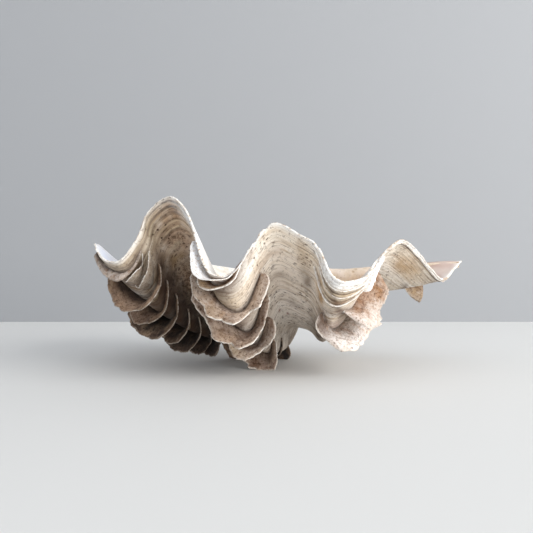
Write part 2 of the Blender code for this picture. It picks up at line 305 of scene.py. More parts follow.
# The ends of a scale lie this many degrees nearer to the rim than its middle.
SCALE_SAG = 5
RIBS = {
    "left_rib_scales": (
        ((LEFT_RIB + 0.2, 3, 1.2, 8, 80, -0.3, -0.5), 0.45,
         (0.4, 0.4, 0.4, 0.5, 1.05, 1.25, 1.1, 1.06, 1.06, 1, 1, 1.1, 1.3),
         ("3F2F24", 0.8, 0.35, 0.6, 0.35, 0.85)),
        ((LEFT_RIB, 11.5, 1.25, 22, 60, -0.3, -0.8), 0,
         (0.4, 0.4, 0.5, 0.9, 1.15, 1.1, 0.8, 1, 1.04, 1.03, 0.98, 1, 1.05),
         # The second stroke is a dark root: mud and painted shade.
         ("A58C78", 0.2, 0.7, 0.5, 0.3, 0.6), ("3A281D", 0.3, 0.25, 1.1, 0.25, 0.85)),
        ((LEFT_RIB + 0.8, 17, 1.9, 17.5, 65, -0.3, 0.6), 0,
         (0.4, 0.4, 0.4, 0.45, 0.7, 1.02, 1.12, 1.08, 1.01, 1, 1, 1, 1),
         ("9A8271", 0.3, 0.8, 0.8, 0.3, 0.65)),
        ((LEFT_RIB + 0.6, 20.5, 1.6, 23, 65, -0.1, 0), 0,
         (0.4, 0.4, 0.4, 0.74, 1.01, 1, 1.06, 1.11, 1.13, 1.07, 1.05, 1.03, 1), DEEP_MUD_AND_SHADE),
        ((LEFT_RIB + 0.7, 26.5, 1.6, 18.7, 57, -0.25, 0.3), 0,
         (0.4, 0.4, 0.5, 1.02, 0.99, 0.99, 0.93, 0.93, 0.96, 1, 1, 1, 1), DEEP_MUD_AND_SHADE),
        ((LEFT_RIB + 0.5, 31, 1.4, 22, 62, 0, 0), 0,
         (0.4, 0.4, 0.4, 0.5, 0.94, 0.97, 1.01, 1.04, 1, 0.98, 0.98, 1, 1), DEEP_MUD_AND_SHADE, DEEP_MUD_AND_SHADE),
        ((LEFT_RIB + 0.7, 37, 1.1, 17.3, 74, 0.1, -1.7), 0,
         (0.4, 0.4, 0.45, 0.83, 0.99, 1.04, 1.04, 1.02, 0.98, 1, 1, 1, 1), DEEP_MUD_AND_SHADE, DEEP_MUD_AND_SHADE),
        ((LEFT_RIB + 0.5, 40.5, 1.3, 16, 75, 0, 1.5), 0,
         (1.2, 1.1, 0.8, 1, 0.94, 0.92, 0.94, 0.93, 0.94, 0.96, 1, 1, 1), DEEP_MUD_AND_SHADE, DEEP_MUD_AND_SHADE),
        ((LEFT_RIB, 53, 2.0, 18, 80, 0, 0), 0, (0.8, 0.9, 0.9, 0.9, 1, 1, 1, 0.9, 0.7, 0.55, 0.5, 0.5, 0.5)),
    ),
    "middle_rib_scales": (
        ((MIDDLE_RIB - 0.1, 2.2, 1.2, 14, 57, -0.3, 1.9), 0.35,
         (0, 0.2, 0.35, 0.45, 0.45, 0.42, 0.45, 0.6, 0.8, 0.93, 1.07, 1.2, 1.3),
         ("74522F", 0, 0.3, 3, 0.6, 0.95), ("D9B98C", 0.6, 0.75, 0.4, 0.2, 0.6)),
        ((MIDDLE_RIB - 0.2, 9.4, 1.55, 21, 57, 0, -2.6), 0.4,
         (0.93, 0.99, 0.8, 0.84, 0.47, 0.66, 1.09, 0.81, 1, 0.74, 0.93, 0.94, 0.73),
         ("84705F", 0.85, 0.5, 0.3, 0.6, 0.8), ("8E765B", 0.35, 0.75, 0.3, 0.35, 0.75),
         # The first stroke is a dark root line: mud and painted shade.
         ("4A3629", 0.1, 0.25, 1.2, 0.12, 0.85), ("9B8472", -0.05, 0.7, 0.2, 0.3, 0.5),
         ("D2BFAD", -0.5, 0.6, 0.4, 0.4, 0.7)),
        ((MIDDLE_RIB - 0.1, 17, 1.6, 21, 57, 0.25, -2), 0.2,
         (0.99, 0.75, 0.66, 0.7, 0.66, 0.97, 1.07, 0.78, 1.02, 0.84, 0.83, 1.18, 1.15),
         ("5E483A", -0.2, 0.5, 0.6, 0.25, 0.8), ("A89078", 0.2, 0.8, 0.3, 0.2, 0.6),
         # The stroke below is a dark root line: mud and painted shade.
         ("3E2C20", 0, 0.1, 1.4, 0.16, 0.85)),
        ((MIDDLE_RIB + 0.4, 24.5, 1.9, 18, 57, -0.25, -1.6), 0.3,
         (1.01, 0.93, 0.82, 0.58, 0.66, 1.04, 1.06, 0.88, 0.88, 0.92, 0.95, 0.97, 1),
         ("C8B494", 0.3, 0.8, 0.4, 0.25, 0.6), ("553F30", -0.1, 0.4, 0.7, 0.25, 0.8)),
        ((MIDDLE_RIB - 0.1, 37, 1.1, 18, 60, 0.2, 0.6), 0.15,
         (0.8, 0.55, 0.53, 0.59, 0.83, 1.05, 0.97, 0.9, 0.92, 0.96, 0.91, 1, 1.08),
         ("503A2C", 0.0, 0.45, 0.6, 0.25, 0.7)),
    ),
    "old_middle_rib_scales": (
        ((MIDDLE_RIB, 46, 1.5, 6, 80, 0, 0), 0, (0.4, 0.4, 0.4, 0.4, 0.5, 0.6, 0.6), DEEP_SHADE),
        ((MIDDLE_RIB, 59, 1.7, 11, 80, 0, 0), 0, (0, 0, 0, 0, 0.3, 0.7, 1, 1, 0.9, 0.7, 0.6, 0.6, 0.6),
         DEEP_SHADE),
    ),
    "middle_right_rib_scales": (
        ((MIDDLE_RIGHT_RIB - 1.2, 14.3, 1.7, 22.6, 88, 0, -5), 0.7,
         (0.5, 1.15, 1.08, 0.98, 0.97, 0.95, 0.99, 1, 0.9, 0, 0, 0, 0),
         ("9C7552", -0.6, 0.55, 0.45, 0.5, 0.8), ("A87A55", -0.1, 0.25, 0.5, 0.2, 0.6),
         ("EADDD6", 0.3, 0.8, 0.35, 0.3, 0.8)),
        ((MIDDLE_RIGHT_RIB - 0.8, 23.6, 1.8, 23, 75, -0.3, -6), 0.95,
         (1.03, 1.05, 1.08, 1.12, 1.14, 0.96, 0.99, 1.06, 1.18, 1.12, 0.75, 0.95, 1.2),
         # The first stroke is painted shade on the left end of this scale.
         ("5A4331", 0.8, 0.5, 0.32, 0.9, 0.95), ("F7F0ED", 0.2, 0.75, 0.4, 0.4, 0.85),
         ("7E5A45", -0.45, 0.45, 0.2, 0.2, 0.85)),
    ),
    "right_rib_scales": (
        ((RIGHT_RIB - 0.4, 18.8, 0.75, 20, 90, 0, -0.8), 0.4,
         (0.8, 1.0, 1.22, 1.31, 1.02, 0.75, 0.46, 0.25, 0.15, 0, 0, 0, 0),
         ("B89E7E", 0, 0.6, 2, 0.6, 0.75), ("8C6D4E", 0, 0.15, 2, 0.2, 0.7)),
        ((RIGHT_RIB, 40, 1.6, 7, 75, 0, 0), 0.2, EVEN),
    ),
    "end_rib_scales": (
        ((END_RIB, 10, 1.4, 9, 65, 0, 0), 0.2, EVEN),
        ((END_RIB, 26, 1.5, 12, 70, 0, 0), 0.1, EVEN),
        ((END_RIB, 44, 1.6, 12, 75, 0, 0), 0, EVEN),
    ),
}
print(sum(len(scales) for scales in RIBS.values()), "scales in", len(RIBS), "pieces")

# %% [markdown]
# ## Worn rows and ledges
# No growth line is straight, so the rows of the mesh waver a little, and the chips of the rim are pressed
# into the first few. The steps come and go along the rim. A list adds the ledges that stand out in the
# photo: each has a rim point, a width in rim points, the number of its growth line and a height.

# %% Places along the rim
COLUMNS = 400
along = np.linspace(0, LAST, COLUMNS + 1)[None, :]
along_mm = np.interp(along, np.linspace(0, LAST, RIM_SAMPLES)[1:], np.cumsum(rim_steps))


def worn_turn(along, turn):
    """The turn of a row, wavering a little, with the chips of the rim pressed into the first rows."""
    waver = wave(along + 0.05 * turn, 1.3, 5) * 0.5 + wave(along, 0.4, 6) * 0.18
    inner = smooth_step(turn / 6) * smooth_step((OUTER_TURN - turn) / 30)
    return turn + waver * inner + chipped(along) * np.exp(-turn / 3)


LEDGES = (
    (17.2, 1.5, 1, 0.7), (17.2, 1.5, 2, 0.9), (17.3, 1.4, 3, 1.0), (18.9, 0.8, 4, 0.8), (20.3, 1.1, 2, 0.8),
    (7.2, 1.9, 2, 0.9), (7.1, 1.6, 4, 0.8), (7.0, 1.5, 6, 0.6), (12.4, 1.0, 1, 0.6), (3.0, 1.4, 1, 0.6),
    (1.3, 1.2, 2, 0.8), (0.8, 1.0, 4, 0.7), (22.4, 1.0, 3, 0.8), (10.6, 1.4, 3, 0.35),
)


def growth_relief(along, turn, line, fade):
    """How far the steps stand out, in millimetres."""
    rib = ribness(along)
    strong = 0.5 + 0.9 * np.exp(-turn / 9)
    some = np.clip(0.6 + 0.9 * wave(along, 1.7, 20) + 0.7 * wave(along + 3.7 * line, 0.9, 21), 0, 1.5)
    height = strong * shrunk(turn) ** 0.6 * (0.05 + 0.62 * rib) * some
    height = height * (1 - 0.75 * np.exp(-(((along - 14) / 1.5) ** 4) - ((turn - 6.5) / 2.6) ** 4))
    for at, width, number, most in LEDGES:
        height = height + most * (line == number) * np.exp(-(((along - at) / width) ** 4))
    return height * fade


# %% [markdown]
# ## A sheet that becomes a mesh
# `create_grid` makes a flat sheet of quads, and every point is then moved to its place on the shell. The
# same helper serves the wall and the scales. It also stores where each point lies along and down the
# growth as a UV map in metres, because colour follows the growth too.


# %% Moving a grid onto the shell
def grid(places):
    """A bmesh grid whose points take these places, given as rows of columns in millimetres."""
    rows, columns = places.shape[:2]
    bm = bmesh.new()
    bmesh.ops.create_grid(bm, x_segments=columns - 1, y_segments=rows - 1, size=0.5)
    order = [(round((v.co.y + 0.5) * (rows - 1)), round((v.co.x + 0.5) * (columns - 1))) for v in bm.verts]
    for vert, (row, column) in zip(bm.verts, order):
        vert.co = places[row, column] * MM
    return bm, np.array(order)


def as_mesh(bm, name):
    """Turns a bmesh into a mesh and frees it."""
    mesh = bpy.data.meshes.new(name)
    bm.to_mesh(mesh)
    bm.free()
    return mesh


def paint(mesh, name, values):
    """Stores one number per point, for materials to read by name."""
    mesh.attributes.new(name, "FLOAT", "POINT").data.foreach_set("value", np.asarray(values, np.float32))


def lay_growth_map(mesh, u, v):
    """Stores where each point lies along and down the growth, in metres, as a UV map."""
    corner = np.empty(len(mesh.loops), np.int32)
    mesh.loops.foreach_get("vertex_index", corner)
    both = np.stack([np.asarray(u)[corner], np.asarray(v)[corner]], 1) * MM
    mesh.uv_layers.new(name="growth").data.foreach_set("uv", both.astype(np.float32).ravel())


def show(name, mesh, *materials):
    """Makes the piece: it rides on the one body and stands for the CAD shell."""
    piece = bpy.data.objects.new(name, mesh)
    bpy.context.scene.collection.objects.link(piece)
    for material in materials:
        mesh.materials.append(material)
    for face in mesh.polygons:
        face.use_smooth = True
    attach(piece, "root")
    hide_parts("clam_shell")
    size = [round(side / MM, 1) for side in piece.dimensions]
    print(f"{name}: {sum(len(f.vertices) - 2 for f in mesh.polygons)} triangles, {size} mm")
    return piece


# %% [markdown]
# ## The outer face of the wall
# The steps lean a little towards the rim, as roof tiles do, so each one throws a thin shadow on the
# next. On top of them lie slow swells, and in the left groove a crust of old worm tubes and lime.

# %% Places of the outer face
line_no, fade = row_line[:, None], row_fade[:, None]
turn = worn_turn(along, row_turn[:, None])
smooth_face = outside(along, turn)
at = off_ends(along)
away = outward(outside, at, turn)
towards_rim = unit(outside(along, turn - 1) - outside(along, turn + 1))
steps = growth_relief(along, row_turn[:, None], line_no, fade)
size_then = shrunk(row_turn)[:, None]
at_rim = np.exp(-row_turn / 1.5)[:, None]
pits = blotches(smooth_face, 2.6, 8)
swell = 0.7 * blotches(smooth_face, 26, 3) + 0.25 * blotches(smooth_face, 7, 4) + 0.1 * pits


def near(along, turn, spot_along, spot_turn, width, length):
    """1 at a place on the shell, fading to 0 around it."""
    far = ((along - spot_along) / width) ** 2 + ((turn - spot_turn) / length) ** 2
    return np.exp(-far)


def patched(spots):
    """Soft patches on the outer face: rim point, turn, width, length and strength of each."""
    return sum(strength * near(along, turn, *spot) for *spot, strength in spots)


CRUSTS = (
    (17.35, 8.8, 0.5, 1.5, 1), (17.9, 19, 0.9, 6, 0.8), (17.4, 34, 1.1, 12, 0.7), (12.2, 0.3, 0.7, 1.2, 0.35),
)
BULGE = ((14, 5.6, 1.2, 2.2, 1.5), (14, 1.3, 1.6, 0.9, -0.8))
crusty = np.clip(patched(CRUSTS), 0, 1)
crust = crusty * (1.3 * np.clip(pits, -0.7, 0.4) + 0.9 * np.clip(blotches(smooth_face, 6, 9), -0.2, 1))
crust = crust + patched(BULGE)
lift = steps + (swell * (0.35 + 0.65 * size_then) + crust) * (1 - at_rim)
outer_face = smooth_face + lift[..., None] * (0.86 * away + 0.5 * towards_rim)
print(f"steps stand up to {steps.max():.1f} mm, crust up to {crust.max():.1f} mm")

# %% [markdown]
# ## The inner face of the wall
# The inside has no steps. Its rows lie closer together near the rim, where it still follows each fold. Slow
# swells half a millimetre high keep it from looking moulded.

# %% Places of the inner face
INNER_ROWS = 56
inner_turn = INNER_TURN * np.linspace(0, 1, INNER_ROWS + 1)[:, None] ** 1.25
inner_worn = inner_turn + chipped(along) * np.exp(-inner_turn / 3)
inner_face = inside(along, inner_worn)
inner_swell = 0.5 * blotches(inner_face, 22, 12) * smooth_step(inner_turn / 8)
inner_face += inner_swell[..., None] * outward(lining, at, inner_worn)

# %% [markdown]
# ## Closing the wall
# Two grids become one closed wall when their borders are bridged, side by side: rim to rim, then each
# hinge edge, then the beak. Bridging one side at a time keeps each new face straight.


# %% Build the wall
def build_wall():
    bm, outer_order = grid(outer_face)
    inner, inner_order = grid(inner_face)
    for face in inner.faces:
        face.material_index = 1
    inner_mesh = as_mesh(inner, "inner_face")
    bm.from_mesh(inner_mesh)
    bpy.data.meshes.remove(inner_mesh)
    bm.verts.ensure_lookup_table()
    rows = np.concatenate([outer_order[:, 0] / (len(outer_face) - 1), inner_order[:, 0] / INNER_ROWS])
    columns = np.concatenate([outer_order[:, 1], inner_order[:, 1]]) / COLUMNS
    border = [edge for edge in bm.edges if edge.is_boundary]
    for places, side in ((rows, 0), (columns, 0), (columns, 1), (rows, 1)):
        chain = [e for e in border if all(abs(places[v.index] - side) < 1e-9 for v in e.verts)]
        made = bmesh.ops.bridge_loops(bm, edges=chain)
        for face in made["faces"]:
            face.material_index = 2 if places is rows and side == 0 else 1
    open_edges = sum(edge.is_boundary for edge in bm.edges)
    bmesh.ops.recalc_face_normals(bm, faces=list(bm.faces))
    print(f"shell wall: {open_edges} open edges")
    return as_mesh(bm, "shell_wall"), outer_order, inner_order


wall_mesh, outer_order, inner_order = build_wall()

# %% [markdown]
# ## What the materials need to know
# Dirt and painted shade lie behind each step and along each scale's root, the old parts are greyer, and small
# worms bored into the middle groove. A painter would brush these on. Here each is a number at every point,
# worked out from the same pair of along and turn.

# %% Paint the wall's numbers
outer_at = tuple(outer_order.T)
inner_at = tuple(inner_order.T)
MEAN_REACH = 150


def depth_mm(turn):
    """How far a turn lies from the rim on the shell's surface, for a point of middling reach."""
    stretch = math.hypot(1, SHRINK) / SHRINK
    return MEAN_REACH * stretch * (1 - np.exp(-SHRINK * np.radians(turn)))


def both(outer, inner):
    """One number per wall point, outer points first."""
    outer = np.broadcast_to(outer, outer_face.shape[:2])[outer_at]
    inner = np.broadcast_to(inner, inner_face.shape[:2])[inner_at]
    return np.concatenate([outer, inner])


middle_mm = along_mm[0, COLUMNS // 2]
lay_growth_map(
    wall_mesh,
    both((along_mm - middle_mm) * size_then, (along_mm - middle_mm) * shrunk(inner_turn)),
    both(depth_mm(turn), depth_mm(inner_worn)),
)
behind_step = np.where(fade == 0, np.roll(steps, -1, axis=0), 0)
behind_step[-1] = 0
under_step = np.roll(behind_step, -1, axis=0) * 0.45
crease_dirt_and_shade = np.clip((behind_step + under_step) / 0.8, 0, 1) * (0.2 + 0.8 * ribness(along))


def root_dirt_and_shade(along, turn):
    """Dirt and painted shade: 1 in the corner between the wall and the root of each scale, reaching further
    on its older side, which lies in its shade.
    """
    dirt = 0 * (along + turn)
    for rib, when, half_width, *_, tilt in (scale[0] for scales in RIBS.values() for scale in scales):
        side = (along - rib) / half_width
        past = turn - (when - np.minimum(SCALE_SAG, 0.4 * when) * side * side + tilt * side)
        dirt = np.maximum(dirt, np.exp(-((past / np.where(past < 0, 1.1, 3.2)) ** 2) - side**6))
    return dirt


# The crease mask holds dirt and painted shade: behind each step, and along each scale root.
crease_dirt_and_shade = np.clip(crease_dirt_and_shade + 0.95 * root_dirt_and_shade(along, turn), 0, 1)
paint(wall_mesh, "crease_dirt_and_shade", both(crease_dirt_and_shade, 0))
paint(wall_mesh, "crust", both(np.clip(crusty, 0, 1), 0))
BORINGS = (
    (10.9, 12, 2.2, 14, 1), (11, 34, 2.4, 14, 1), (17.6, 14, 1.3, 16, 0.8), (3.8, 13, 1.0, 9, 0.7),
    (14, 6, 1.2, 3, 0.5), (17.4, 5.5, 1.0, 3, 0.9),
)
bored = patched(BORINGS) + 0.3
paint(wall_mesh, "bored", both(np.clip(bored, 0, 1), 0))

# %% [markdown]
# ## Colours
# Colours are given as sRGB hex values, as a picture editor shows them. Blender wants linear light, so one
# function turns the first into the second.


# %% Colour helper
def hue(code):
    """A linear colour from a hex code, with full cover."""
    parts = [int(code[i : i + 2], 16) / 255 for i in (0, 2, 4)]
    linear = [p / 12.92 if p <= 0.04045 else ((p + 0.055) / 1.055) ** 2.4 for p in parts]
    return (*linear, 1.0)


# %% [markdown]
# ## Brush strokes
# Sun, water and mud coloured each part of the shell in its own way, and some strokes are painted shade where
# the folds lie in shadow. As a painter would, a list names each stroke: its colour, its place as along and
# turn, its width, its length and how strongly it covers. Later strokes lie on earlier ones. The result
# reaches the materials as four numbers at each point.

# %% Strokes on the wall
STROKES = (
    ("A39382", 12, 60, 30, 34, 0.85), ("D0B292", 17.3, 5, 1.5, 6, 0.85),
    ("A1723F", 17.0, 3.9, 0.4, 2.2, 0.6), ("C4A58C", 17.3, 9.5, 0.9, 3.6, 0.85),
    ("BBA98D", 18.4, 3.5, 0.45, 4.5, 0.8), ("DCCDB4", 17.65, 9.8, 0.45, 0.6, 0.9),
    ("33241A", 17.9, 10.8, 0.5, 0.35, 0.8), ("A3844F", 17.95, 12.8, 0.5, 2.0, 0.9),
    ("1E140D", 18.65, 13.8, 0.13, 1.6, 0.95), ("7C6250", 17.6, 20, 1.1, 6, 0.9),
    # The first stroke here is painted shade, low in the left hood.
    ("382920", 18.1, 36, 2.0, 15, 0.92), ("E2D0B3", 19.5, 3.2, 0.9, 4.0, 0.7),
    ("BC9A72", 19.5, 8.5, 0.8, 3.0, 0.6), ("A89B8C", 21.9, 2.6, 1.0, 4.5, 0.85),
    ("6E5A48", 21.4, 6.5, 1.0, 2.2, 0.8), ("5A4537", 19.4, 14, 1.2, 6, 0.85),
    # The four nearly black strokes here and on the next line are painted shade between the left rib's scales.
    ("241811", 19.5, 18.5, 0.8, 5.5, 0.93), ("22170F", 19.7, 25, 1.1, 6, 0.92),
    ("2C2017", 20.2, 34, 2.4, 15, 0.92), ("22170F", 18.8, 25, 0.6, 9, 0.9),
    ("3F2C1E", 17.0, 0.95, 1.3, 0.22, 0.8), ("3F2C1E", 17.2, 2.05, 1.5, 0.25, 0.85),
    ("4A3626", 17.3, 3.3, 1.3, 0.3, 0.75), ("5A4330", 18.8, 2.0, 0.5, 0.25, 0.6),
    ("8A7563", 23.5, 12, 2.0, 14, 0.7), ("FCFBFA", 15.9, 1.4, 0.8, 2.2, 0.95),
    ("6F4D2E", 13.8, 1.1, 1.3, 1.0, 0.92), ("F0EAE0", 13.6, 3.0, 1.0, 0.8, 0.8),
    # The second stroke is painted shade on the wall between two scales of the middle rib.
    ("CDB899", 14, 6.0, 1.5, 2.6, 0.8), ("6B5240", 14, 13, 1.9, 3.0, 0.85),
    ("6B5648", 14, 22, 1.9, 10, 0.8), ("FBF9F6", 12.5, 0.9, 0.5, 2.8, 0.9),
    ("F0E4D2", 10.9, 2.6, 1.7, 3.2, 0.8), ("E0C49B", 9.65, 4.8, 0.5, 4.5, 0.7),
    ("F0E4D5", 10.9, 9, 2.0, 6, 0.85), ("E9DCCC", 11.3, 16, 1.9, 6, 0.85),
    ("7F6C5B", 9.5, 10.5, 0.4, 3.5, 0.8), ("F6EEE5", 10.8, 26, 2.0, 9, 0.95),
    ("E4DCD2", 11, 44, 3.0, 14, 0.9), ("D9CDBD", 12.6, 20, 0.6, 8, 0.5),
    ("B59D88", 11.6, 6.5, 0.9, 1.2, 0.5), ("8C7460", 11.3, 13.5, 1.2, 1.2, 0.5),
    ("5A4636", 8.0, 30, 1.1, 9, 0.8), ("FDFCFA", 7.0, 1.0, 2.1, 2.0, 0.95),
    ("D6C5AA", 7.1, 5, 1.6, 2.6, 0.75), ("85603C", 7.2, 6.2, 0.4, 0.6, 0.8),
    ("C0955A", 8.5, 7.4, 0.3, 2.4, 0.7), ("F0E6D6", 3.6, 4, 1.3, 5, 0.7),
    ("CDA878", 3.0, 7, 0.55, 4.5, 0.75), ("96703F", 3.05, 8.0, 0.3, 5.0, 0.45),
    ("DDD3C7", 4.2, 13, 0.7, 7, 0.75), ("7A3B22", 11.65, 28, 0.13, 0.9, 0.9),
    ("7A3B22", 10.9, 32, 0.11, 0.8, 0.9), ("38271D", 11.6, 33.5, 0.1, 0.8, 0.9),
    ("38271D", 11.4, 10.3, 0.1, 0.5, 0.95), ("5A4330", 12.0, 3.6, 0.12, 0.25, 0.8),
    ("6B4D38", 10.2, 24, 0.5, 1.2, 0.5), ("5E4632", 17.2, 4.6, 1.0, 0.3, 0.8),
    ("6B513B", 17.5, 5.7, 0.9, 0.3, 0.8), ("553F2E", 17.4, 6.9, 1.0, 0.35, 0.85),
    ("5E4735", 17.4, 8.2, 0.8, 0.35, 0.8), ("D8C3A4", 17.3, 6.3, 0.8, 0.3, 0.6),
    ("D8C3A4", 17.2, 5.1, 0.9, 0.3, 0.6), ("6B5240", 18.6, 7.0, 0.35, 3.0, 0.5),
    ("33231A", 18.9, 11, 0.3, 4.5, 0.8), ("A99A8A", 19.3, 1.9, 0.9, 0.9, 0.6),
    ("C9B393", 7.2, 3.8, 1.5, 0.35, 0.7), ("B79E80", 7.3, 6.0, 1.3, 0.3, 0.6),
    ("8A6A4C", 6.9, 6.9, 0.6, 0.6, 0.8), ("B08A5A", 8.3, 9.5, 0.25, 2.4, 0.7),
    ("A08A76", 7.1, 10.5, 0.7, 1.6, 0.6), ("7B5E48", 7.9, 16.5, 0.6, 4, 0.9),
    ("DCC9BC", 6.8, 18, 0.6, 3.5, 0.85), ("FBF8F4", 3.0, 0.7, 1.7, 0.7, 0.9),
    # The first stroke is a painted shadow line under the crest of the rim on the right.
    ("5A3B22", 3.1, 1.75, 1.7, 0.3, 0.9), ("8A6A4A", 2.3, 3.6, 0.6, 0.3, 0.6),
    ("A5876A", 3.7, 6.8, 0.5, 0.35, 0.6), ("BBAE9E", 1.2, 5, 1.1, 6, 0.7), ("FBF8F3", 13, 0, 40, 0.6, 0.9),
)
INNER_STROKES = (
    # The first stroke is painted bluish shade on the inside of the left tip.
    ("DDE4F6", 21.6, 0, 1.6, 16, 0.85), ("F8F6F2", 16, 0, 2.2, 10, 0.7), ("DFCBB8", 2, 26, 5, 26, 0.75),
    ("B3968A", 1.2, 12, 2.2, 20, 0.9), ("F3ECE2", 25, 30, 4, 26, 0.7), ("B08A5E", 1.6, 12, 0.7, 4, 0.5),
    ("F6F2EC", 13, 0, 40, 1.2, 0.7),
)
PAINT = ("red", "green", "blue", "cover")
mottle = blotches(smooth_face, 6, 31)
inner_mottle = blotches(inner_face, 9, 32)


def brushed(along, turn, strokes, mottle):
    """The colour that the strokes leave at each place, and how much of the ground they cover."""
    colour, cover = np.zeros(mottle.shape + (3,)), np.zeros(mottle.shape)
    for code, at, when, width, length, strength in strokes:
        wet = np.clip(strength * near(along, turn, at, when, width, length) * (1 + 0.7 * mottle), 0, 1)
        colour = colour * (1 - wet[..., None]) + wet[..., None] * np.array(hue(code)[:3])
        cover = cover * (1 - wet) + wet
    return colour / np.maximum(cover, 0.001)[..., None], cover


outer_paint, outer_cover = brushed(along, turn, STROKES, mottle)
inner_paint, inner_cover = brushed(along, inner_worn, INNER_STROKES, inner_mottle)
outer_paint = np.concatenate([outer_paint, outer_cover[..., None]], -1)
inner_paint = np.concatenate([inner_paint, inner_cover[..., None]], -1)
for place, channel in enumerate(PAINT):
    paint(wall_mesh, channel, both(outer_paint[..., place], inner_paint[..., place]))
print(f"{len(STROKES) + len(INNER_STROKES)} strokes cover {outer_cover.mean():.0%} of the outside")

# %% [markdown]
# ## The shape of a scale
# Each scale is a sheet of points that leaves the wall along an old rim and bends outwards, with its hollow
# side towards the newer rim. Its root is sunk into the wall, less so near the rim, where the wall is thin.
# Noise in three lengths frays the edge, and soft folds keep the leaf from looking cut out of card.

# %% Shape of a scale
# In millimetres: how deep a root is buried, how deep at the very rim, and how thick a scale is.
SCALE_ROOT, THIN_ROOT, SCALE_WALL = 1.6, 0.4, 2.2
# The share of its rows that is buried, its lean at the root in degrees, and how square its outline is.
BURIED, SCALE_RISE, SCALE_ROUNDNESS = 0.2, 35, 3.5
# How long a step between rim points is on a scale's map, and how far apart the maps of two scales lie.
POINT_MM, APART_MM = 22, 40


def scale_places(scale, outline, columns, rows, seed):
    """Rows of points of one scale, from root to edge, and what to know about each point."""
    rib, turn, half_width, flare, lean, skew, tilt = scale
    side = np.linspace(-1, 1, columns + 1)[None, :]
    out = np.linspace(0, 1, rows + 1)[:, None]
    along = rib + half_width * side
    at = np.maximum(turn - min(SCALE_SAG, 0.4 * turn) * side * side + tilt * side, 0.05)
    base = outside(along, at)
    away = outward(outside, off_ends(along), at)
    grow = unit(outside(along, at - 1) - outside(along, at + 1))
    full = flare * (1 + skew * side)
    least = np.maximum(0.15 * full, SCALE_WALL)
    height = least + (full - least) * np.sqrt(np.maximum(1 - np.abs(side) ** SCALE_ROUNDNESS, 0))
    share = np.interp(side, np.linspace(-1, 1, len(outline)), outline)
    height = height * share
    # Slow and quick waves, bites where a slow wave is low, and a fringe of half a millimetre.
    broken = np.minimum(wave(side * 6, 1, seed + 3), 0)
    ragged = 0.04 * wave(side * 3, 1, seed) + 0.06 * wave(side * 11, 1, seed + 1)
    ragged = ragged + 0.28 * broken * np.abs(wave(side * 17, 1, seed + 4))
    height = height * (1 + ragged) + 0.6 * wave(side * 30, 1, seed + 5)
    reach = np.clip((out - BURIED) / (1 - BURIED), 0, 1)
    bend = np.radians(SCALE_RISE + (lean - SCALE_RISE) * reach)
    raised = (height * reach)[..., None]
    leaf = base + raised * (np.cos(bend)[..., None] * grow + np.sin(bend)[..., None] * away)
    spots = np.stack(np.broadcast_arrays(side * half_width * 12, height * reach, float(seed)), -1)
    folds = 0.6 * blotches(spots, 7, 1) + 0.35 * blotches(spots, 2.6, 2)
    leaf = leaf + (folds * reach)[..., None] * grow
    buried = np.clip(1 - out / BURIED, 0, 1) * np.minimum(SCALE_ROOT, THIN_ROOT + 0.15 * at)
    leaf = leaf - buried[..., None] * away
    side, reach, along = np.broadcast_arrays(side, reach, along)
    return leaf, along, height * (1 - reach), side, reach, share[0]


# %% [markdown]
# ## The scales of one rib
# All scales of a rib become one mesh. A Solidify modifier gives the sheets their wall, point by point, so
# that it thins out towards the edge and on old, worn scales. It also gives front, back and edge a material
# each. Where an outline is 0 the sheet is left out, as if it had broken off.


